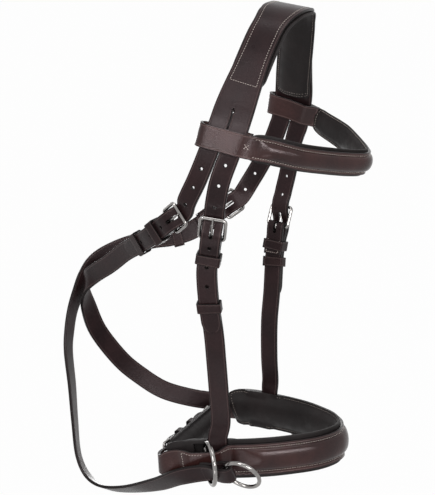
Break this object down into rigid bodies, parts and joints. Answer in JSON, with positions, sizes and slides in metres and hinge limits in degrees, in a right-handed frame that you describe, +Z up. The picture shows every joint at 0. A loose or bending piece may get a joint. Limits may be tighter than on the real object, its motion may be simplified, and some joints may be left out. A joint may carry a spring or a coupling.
{
  "type": "cross-under bitless bridle",
  "caption": "Leather horse bridle without a bit: wide padded crown, raised lined browband, buckled cheekpieces, and straps that cross under the jaw and pass through rings on a lined noseband.",
  "frame": {"origin": "middle of the flat underside of the crown pad, where the bridle rests on the poll", "axes": "+X forward to the nose, +Y to the horse's left, +Z up"},
  "size_m": [0.3211, 0.2301, 0.5018],
  "materials": {
    "browband_lining": "soft black lining leather",
    "browband_strap": "matt dark brown bridle leather",
    "cheek_keeper_left": "matt dark brown bridle leather",
    "cheek_keeper_right": "matt dark brown bridle leather",
    "cheek_left_buckle_frame": "bright stainless steel",
    "cheek_left_buckle_tongue": "bright stainless steel",
    "cheek_right_buckle_frame": "bright stainless steel",
    "cheek_right_buckle_tongue": "bright stainless steel",
    "cheek_runner_left": "matt dark brown bridle leather",
    "cheek_runner_right": "matt dark brown bridle leather",
    "cheekpiece_left": "matt dark brown bridle leather",
    "cheekpiece_right": "matt dark brown bridle leather",
    "chin_keeper_left": "matt dark brown bridle leather",
    "chin_keeper_right": "matt dark brown bridle leather",
    "chin_left_buckle_frame": "bright stainless steel",
    "chin_left_buckle_tongue": "bright stainless steel",
    "chin_pad": "soft black lining leather",
    "chin_right_buckle_frame": "bright stainless steel",
    "chin_right_buckle_tongue": "bright stainless steel",
    "chin_strap": "matt dark brown bridle leather",
    "cross_under_keeper_left": "matt dark brown bridle leather",
    "cross_under_keeper_right": "matt dark brown bridle leather",
    "cross_under_left_buckle_frame": "bright stainless steel",
    "cross_under_left_buckle_tongue": "bright stainless steel",
    "cross_under_right_buckle_frame": "bright stainless steel",
    "cross_under_right_buckle_tongue": "bright stainless steel",
    "cross_under_runner_left": "matt dark brown bridle leather",
    "cross_under_runner_right": "matt dark brown bridle leather",
    "cross_under_strap_left": "matt dark brown bridle leather",
    "cross_under_strap_right": "matt dark brown bridle leather",
    "crown_pad": "soft black lining leather",
    "headpiece_strap": "matt dark brown bridle leather",
    "noseband_lining": "soft black lining leather",
    "noseband_ring_left": "bright stainless steel",
    "noseband_ring_right": "bright stainless steel",
    "noseband_strap": "matt dark brown bridle leather",
    "rein_ring_left": "bright stainless steel",
    "rein_ring_right": "bright stainless steel"
  },
  "bodies": {
    "bridle": {"cheek_keeper_left": "cheek_keeper_left", "cheek_keeper_right": "cheek_keeper_right", "cheek_left_buckle_frame": "cheek_left_buckle_frame", "cheek_right_buckle_frame": "cheek_right_buckle_frame", "cheekpiece_left": "cheekpiece_left", "cheekpiece_right": "cheekpiece_right", "chin_keeper_left": "chin_keeper_left", "chin_keeper_right": "chin_keeper_right", "chin_left_buckle_frame": "chin_left_buckle_frame", "chin_pad": "chin_pad", "chin_right_buckle_frame": "chin_right_buckle_frame", "chin_strap": "chin_strap", "cross_under_keeper_left": "cross_under_keeper_left", "cross_under_keeper_right": "cross_under_keeper_right", "cross_under_left_buckle_frame": "cross_under_left_buckle_frame", "cross_under_right_buckle_frame": "cross_under_right_buckle_frame", "cross_under_strap_left": "cross_under_strap_left", "cross_under_strap_right": "cross_under_strap_right", "crown_pad": "crown_pad", "headpiece_strap": "headpiece_strap", "noseband_lining": "noseband_lining", "noseband_strap": "noseband_strap"},
    "browband": {"browband_strap": "browband_strap", "browband_lining": "browband_lining"},
    "cheek_right_tongue": {"cheek_right_buckle_tongue": "cheek_right_buckle_tongue"},
    "cheek_right_runner": {"cheek_runner_right": "cheek_runner_right"},
    "cross_under_right_tongue": {"cross_under_right_buckle_tongue": "cross_under_right_buckle_tongue"},
    "cross_under_right_runner": {"cross_under_runner_right": "cross_under_runner_right"},
    "rein_ring_left": {"rein_ring_left": "rein_ring_left"},
    "noseband_ring_right": {"noseband_ring_right": "noseband_ring_right"},
    "chin_right_tongue": {"chin_right_buckle_tongue": "chin_right_buckle_tongue"},
    "cheek_left_tongue": {"cheek_left_buckle_tongue": "cheek_left_buckle_tongue"},
    "cheek_left_runner": {"cheek_runner_left": "cheek_runner_left"},
    "cross_under_left_tongue": {"cross_under_left_buckle_tongue": "cross_under_left_buckle_tongue"},
    "cross_under_left_runner": {"cross_under_runner_left": "cross_under_runner_left"},
    "rein_ring_right": {"rein_ring_right": "rein_ring_right"},
    "noseband_ring_left": {"noseband_ring_left": "noseband_ring_left"},
    "chin_left_tongue": {"chin_left_buckle_tongue": "chin_left_buckle_tongue"}
  },
  "joints": [
    {"name": "cheek_right_tongue_hinge", "type": "hinge", "parent": "bridle", "child": "cheek_right_tongue", "pos_m": [-0.03947, -0.09569, -0.19836], "axis": [0.962, 0.2367, -0.136], "range_deg": [0, 6]},
    {"name": "cheek_right_runner_slide", "type": "slide", "parent": "bridle", "child": "cheek_right_runner", "axis": [0.0261, 0.2307, -0.9727], "range_m": [-0.008, 0.008]},
    {"name": "cross_under_right_tongue_hinge", "type": "hinge", "parent": "bridle", "child": "cross_under_right_tongue", "pos_m": [-0.08713, -0.0831, -0.18949], "axis": [0.5936, -0.0627, -0.8023], "range_deg": [0, 6]},
    {"name": "cross_under_right_runner_slide", "type": "slide", "parent": "bridle", "child": "cross_under_right_runner", "axis": [-0.7095, 0.5361, -0.4574], "range_m": [-0.008, 0.008]},
    {"name": "rein_ring_left_hinge", "type": "hinge", "parent": "bridle", "child": "rein_ring_left", "pos_m": [-0.02561, 0.09323, -0.43902], "axis": [-0.2542, -0.4732, -0.8435], "range_deg": [-15, 15]},
    {"name": "noseband_ring_right_hinge", "type": "hinge", "parent": "bridle", "child": "noseband_ring_right", "pos_m": [-0.05445, -0.07643, -0.42763], "axis": [-0.0749, -0.004, 0.9972], "range_deg": [-5, 5]},
    {"name": "chin_right_tongue_hinge", "type": "hinge", "parent": "bridle", "child": "chin_right_tongue", "pos_m": [-0.1033, -0.036, -0.43773], "axis": [0.0609, 0, -0.9981], "range_deg": [0, 6]},
    {"name": "cheek_left_tongue_hinge", "type": "hinge", "parent": "bridle", "child": "cheek_left_tongue", "pos_m": [-0.04302, 0.09146, -0.22937], "axis": [-0.9727, 0.2256, 0.0536], "range_deg": [0, 6]},
    {"name": "cheek_left_runner_slide", "type": "slide", "parent": "bridle", "child": "cheek_left_runner", "axis": [0.0284, -0.2371, -0.9711], "range_m": [-0.002, 0.008]},
    {"name": "cross_under_left_tongue_hinge", "type": "hinge", "parent": "bridle", "child": "cross_under_left_tongue", "pos_m": [-0.09763, 0.07311, -0.21251], "axis": [-0.5829, -0.0681, 0.8097], "range_deg": [0, 6]},
    {"name": "cross_under_left_runner_slide", "type": "slide", "parent": "bridle", "child": "cross_under_left_runner", "axis": [-0.8727, -0.4278, -0.2353], "range_m": [-0.002, 0.006]},
    {"name": "rein_ring_right_hinge", "type": "hinge", "parent": "bridle", "child": "rein_ring_right", "pos_m": [-0.02585, -0.0933, -0.43046], "axis": [0.0738, 0.516, -0.8534], "range_deg": [-15, 10]},
    {"name": "noseband_ring_left_hinge", "type": "hinge", "parent": "bridle", "child": "noseband_ring_left", "pos_m": [-0.05445, 0.07643, -0.42763], "axis": [-0.0749, 0.004, 0.9972], "range_deg": [0, 30]},
    {"name": "chin_left_tongue_hinge", "type": "hinge", "parent": "bridle", "child": "chin_left_tongue", "pos_m": [-0.1033, 0.036, -0.43773], "axis": [-0.0609, 0, 0.9981], "range_deg": [0, 6]},
    {"name": "browband_slide", "type": "slide", "parent": "bridle", "child": "browband", "axis": [0.2, 0, 0.9798], "range_m": [-0.008, 0]}
  ]
}
